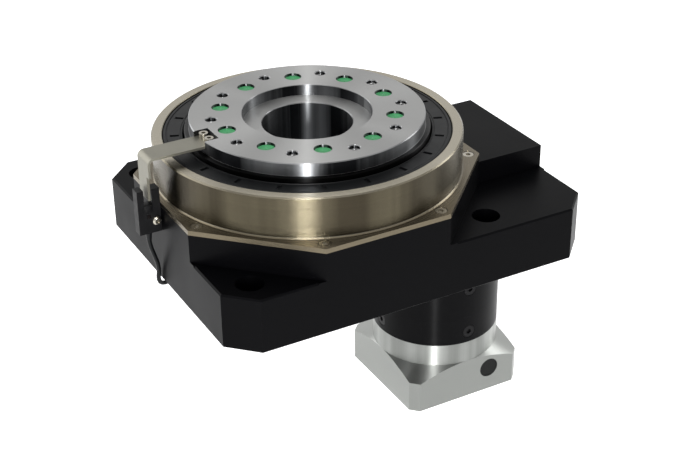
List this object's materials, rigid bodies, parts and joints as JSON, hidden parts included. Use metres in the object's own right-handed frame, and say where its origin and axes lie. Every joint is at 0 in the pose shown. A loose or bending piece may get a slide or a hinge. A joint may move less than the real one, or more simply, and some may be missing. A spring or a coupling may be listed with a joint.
{
  "type": "hollow rotary platform",
  "caption": "Hollow rotary platform: a bored, flanged table on a crossed-roller bearing, geared to a vertical planetary gearbox with a square motor adapter",
  "frame": {"origin": "on the table's axis, in the plane of the base (mounting) face, at the centre of the four mounting holes", "axes": "+Z out of the table face, +X from the table axis to the gearbox, +Y completes a right-handed frame"},
  "size_m": [0.2624, 0.2, 0.22],
  "materials": {
    "black_anodised": "satin black anodised aluminium",
    "gearbox_black": "semi-gloss black anodised aluminium",
    "nickel_plate": "warm satin nickel plating on steel",
    "ground_steel": "ground steel",
    "bearing_steel": "hardened and polished bearing steel",
    "gear_steel": "machined alloy steel",
    "screw_nickel": "nickel-plated screws",
    "screw_black": "black oxide on alloy steel",
    "seal_rubber": "moulded black nitrile rubber",
    "green_plastic": "moulded green plastic",
    "sensor_plastic": "moulded black plastic",
    "amber_window": "translucent amber plastic",
    "cable_jacket": "black vinyl jacket",
    "strap_nylon": "black nylon",
    "satin_aluminium": "satin machined aluminium",
    "plug_grey": "dark grey rubber"
  },
  "bodies": {
    "root": {"housing": "black_anodised", "ring_cover": "nickel_plate", "cover_screws": "screw_nickel", "table_seal": "seal_rubber", "outer_race_upper": "bearing_steel", "outer_race_lower": "bearing_steel", "lower_bearing_outer": "bearing_steel", "lower_seal": "seal_rubber", "base_cover": "black_anodised", "base_cover_screws": "screw_nickel", "sensor": "sensor_plastic", "sensor_lens": "amber_window", "sensor_bracket": "black_anodised", "sensor_screw": "screw_nickel", "bracket_screw": "screw_nickel", "sensor_cable": "cable_jacket", "cable_coil": "cable_jacket", "cable_strap": "strap_nylon", "gearbox_body": "gearbox_black", "gearbox_screws": "screw_black", "output_bearing_outer": "bearing_steel", "bearing_retainer": "gear_steel", "ring_gear": "gear_steel", "ring_gear_screws": "screw_black", "motor_adapter": "satin_aluminium", "adapter_screws": "screw_black", "access_plug": "plug_grey", "input_bearing_outer": "bearing_steel"},
    "table": {"rotary_table": "ground_steel", "table_plugs": "green_plastic", "gear_screws": "screw_black", "main_gear": "gear_steel", "inner_race": "bearing_steel", "lower_bearing_inner": "bearing_steel", "home_dog": "nickel_plate", "dog_screws": "screw_nickel"},
    "roller_set": {"cross_rollers": "bearing_steel"},
    "lower_ball_set": {"lower_balls": "bearing_steel"},
    "output": {"output_shaft": "gear_steel", "planet_pins": "bearing_steel", "carrier_plate": "gear_steel", "pinion": "gear_steel", "pinion_key": "gear_steel", "pinion_circlip": "screw_black", "output_bearing_inner": "bearing_steel"},
    "output_ball_set": {"output_balls": "bearing_steel"},
    "planet_1": {"planet_gear_1": "gear_steel"},
    "planet_2": {"planet_gear_2": "gear_steel"},
    "planet_3": {"planet_gear_3": "gear_steel"},
    "input": {"input_shaft": "gear_steel", "clamp_collar": "gear_steel", "clamp_screw": "screw_black", "input_bearing_inner": "bearing_steel"},
    "input_ball_set": {"input_balls": "bearing_steel"}
  },
  "joints": [
    {"name": "table_spin", "type": "hinge", "parent": "root", "child": "table", "pos_m": [0, 0, 0.052], "axis": [0, 0, 1], "continuous": true},
    {"name": "roller_orbit", "type": "hinge", "parent": "root", "child": "roller_set", "pos_m": [0, 0, 0.052], "axis": [0, 0, 1], "continuous": true},
    {"name": "lower_ball_orbit", "type": "hinge", "parent": "root", "child": "lower_ball_set", "pos_m": [0, 0, 0.012], "axis": [0, 0, 1], "continuous": true},
    {"name": "output_spin", "type": "hinge", "parent": "root", "child": "output", "pos_m": [0.096, 0, -0.018], "axis": [0, 0, 1], "continuous": true},
    {"name": "output_ball_orbit", "type": "hinge", "parent": "root", "child": "output_ball_set", "pos_m": [0.096, 0, -0.018], "axis": [0, 0, 1], "continuous": true},
    {"name": "input_spin", "type": "hinge", "parent": "root", "child": "input", "pos_m": [0.096, 0, -0.0735], "axis": [0, 0, 1], "continuous": true},
    {"name": "input_ball_orbit", "type": "hinge", "parent": "root", "child": "input_ball_set", "pos_m": [0.096, 0, -0.0735], "axis": [0, 0, 1], "continuous": true},
    {"name": "planet_spin_1", "type": "hinge", "parent": "output", "child": "planet_1", "pos_m": [0.114, 0, -0.0505], "axis": [0, 0, 1], "continuous": true},
    {"name": "planet_spin_2", "type": "hinge", "parent": "output", "child": "planet_2", "pos_m": [0.087, 0.01559, -0.0505], "axis": [0, 0, 1], "continuous": true},
    {"name": "planet_spin_3", "type": "hinge", "parent": "output", "child": "planet_3", "pos_m": [0.087, -0.01559, -0.0505], "axis": [0, 0, 1], "continuous": true}
  ],
  "couplings": [
    {"joint": "roller_orbit", "follows": "table_spin", "ratio": 0.48175},
    {"joint": "lower_ball_orbit", "follows": "table_spin", "ratio": 0.46235},
    {"joint": "output_spin", "follows": "table_spin", "ratio": -3},
    {"joint": "output_ball_orbit", "follows": "table_spin", "ratio": -1.1634},
    {"joint": "input_spin", "follows": "table_spin", "ratio": -15},
    {"joint": "input_ball_orbit", "follows": "table_spin", "ratio": -6.2556},
    {"joint": "planet_spin_1", "follows": "table_spin", "ratio": 8},
    {"joint": "planet_spin_2", "follows": "table_spin", "ratio": 8},
    {"joint": "planet_spin_3", "follows": "table_spin", "ratio": 8}
  ]
}
